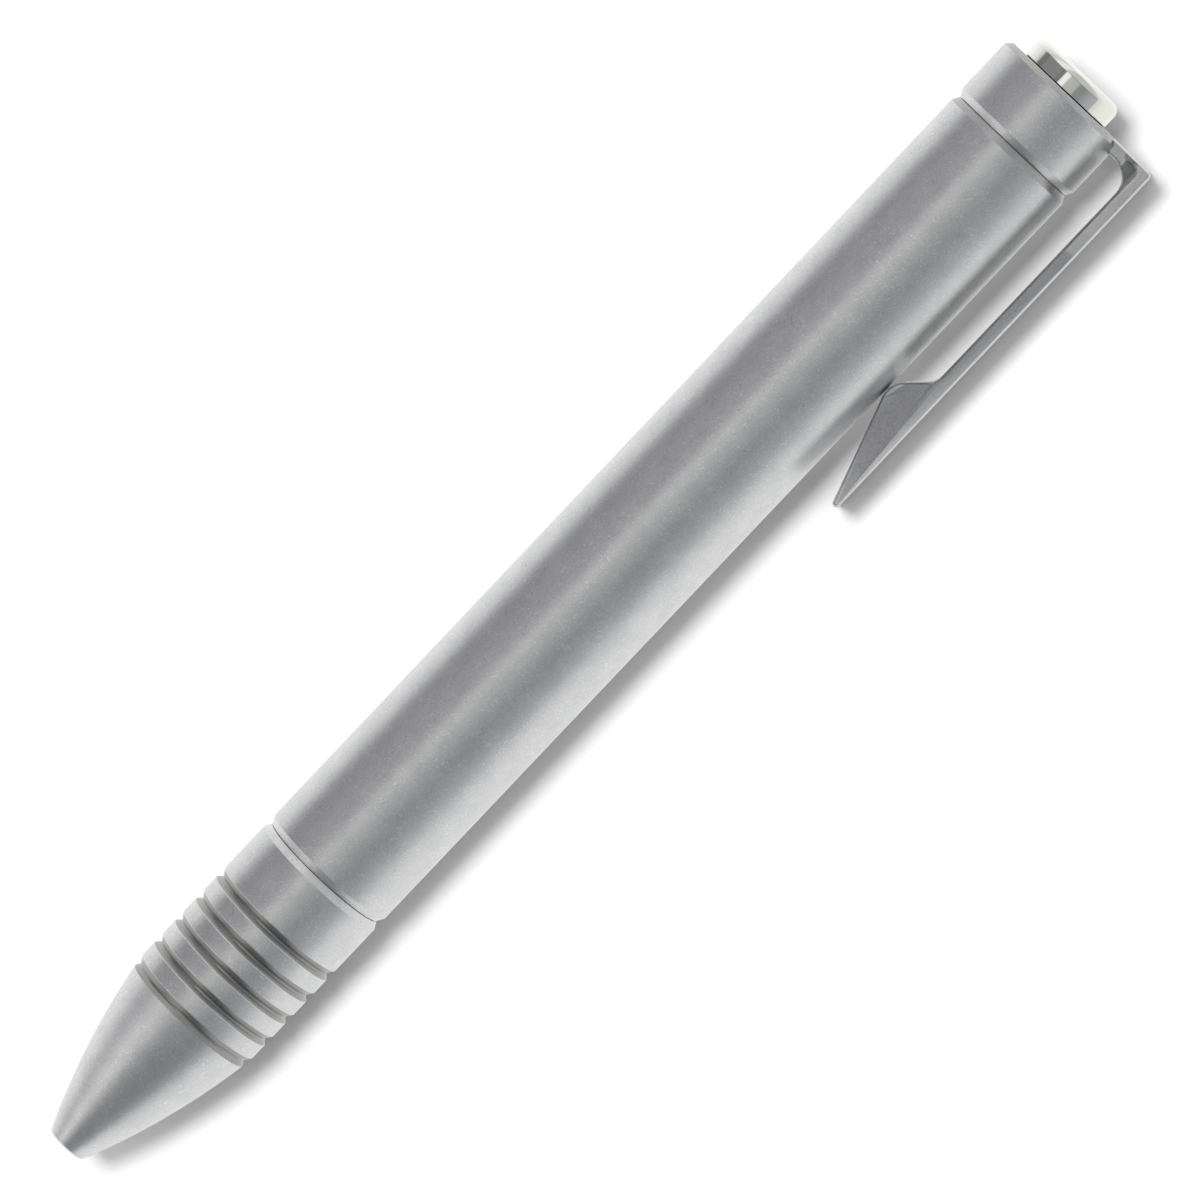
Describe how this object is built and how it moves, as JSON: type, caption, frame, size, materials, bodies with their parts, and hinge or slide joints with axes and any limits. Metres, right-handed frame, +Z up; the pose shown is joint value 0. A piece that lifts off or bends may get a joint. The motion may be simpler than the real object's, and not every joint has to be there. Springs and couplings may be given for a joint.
{
  "type": "bolt action ball pen",
  "caption": "Slim turned metal pen with ring-grooved grip, ogive nose, side pocket clip and a sliding bolt whose polished end forms the tail button.",
  "frame": {"origin": "on the table, below the middle of the part's box", "axes": "+X along the pen towards the tail button, +Z up; the pen lies on its barrel and on one edge of its clip, which stands off towards -Y and a little down"},
  "size_m": [0.124, 0.0186, 0.0127],
  "materials": {
    "turned_titanium": "turned titanium, tumbled to a satin grey",
    "milled_titanium": "milled titanium, satin grey with bright edges",
    "polished_steel": "polished stainless steel",
    "spring_steel": "bright drawn spring wire",
    "nitrile_rubber": "smooth moulded black nitrile rubber",
    "refill_steel": "drawn steel tube, lightly brushed",
    "nickel_silver": "turned nickel silver",
    "tungsten_carbide": "ground tungsten carbide ball",
    "refill_plastic": "moulded dark blue plastic"
  },
  "bodies": {
    "pen_body": {"barrel": "turned_titanium", "tail_cap": "turned_titanium", "clip_pin_left": "polished_steel", "clip_pin_right": "polished_steel", "return_spring": "spring_steel"},
    "nose": {"nose_section": "turned_titanium", "nose_o_ring": "nitrile_rubber"},
    "refill": {"refill_body": "refill_steel", "refill_tip": "nickel_silver", "refill_ball": "tungsten_carbide", "refill_plug": "refill_plastic"},
    "bolt": {"bolt_body": "polished_steel", "bolt_o_ring": "nitrile_rubber", "bolt_handle": "polished_steel"},
    "clip": {"pocket_clip": "milled_titanium"}
  },
  "joints": [
    {"name": "bolt_push", "type": "slide", "parent": "pen_body", "child": "refill", "axis": [-1, 0, 0], "range_m": [0, 0.0045], "stiffness_N_per_m": 300, "springref_m": -0.004, "deforming": ["return_spring"]},
    {"name": "bolt_turn", "type": "hinge", "parent": "refill", "child": "bolt", "pos_m": [0.04596, 0.00124, 0.00635], "axis": [1, 0, 0], "range_deg": [0, 35]},
    {"name": "nose_removal", "type": "slide", "parent": "pen_body", "child": "nose", "axis": [-1, 0, 0], "range_m": [0, 0.042]},
    {"name": "clip_flex", "type": "hinge", "parent": "pen_body", "child": "clip", "pos_m": [0.0593, -0.00388, 0.0044], "axis": [0, -0.3557, 0.9346], "range_deg": [0, 2.5], "stiffness_Nm_per_rad": 8}
  ]
}
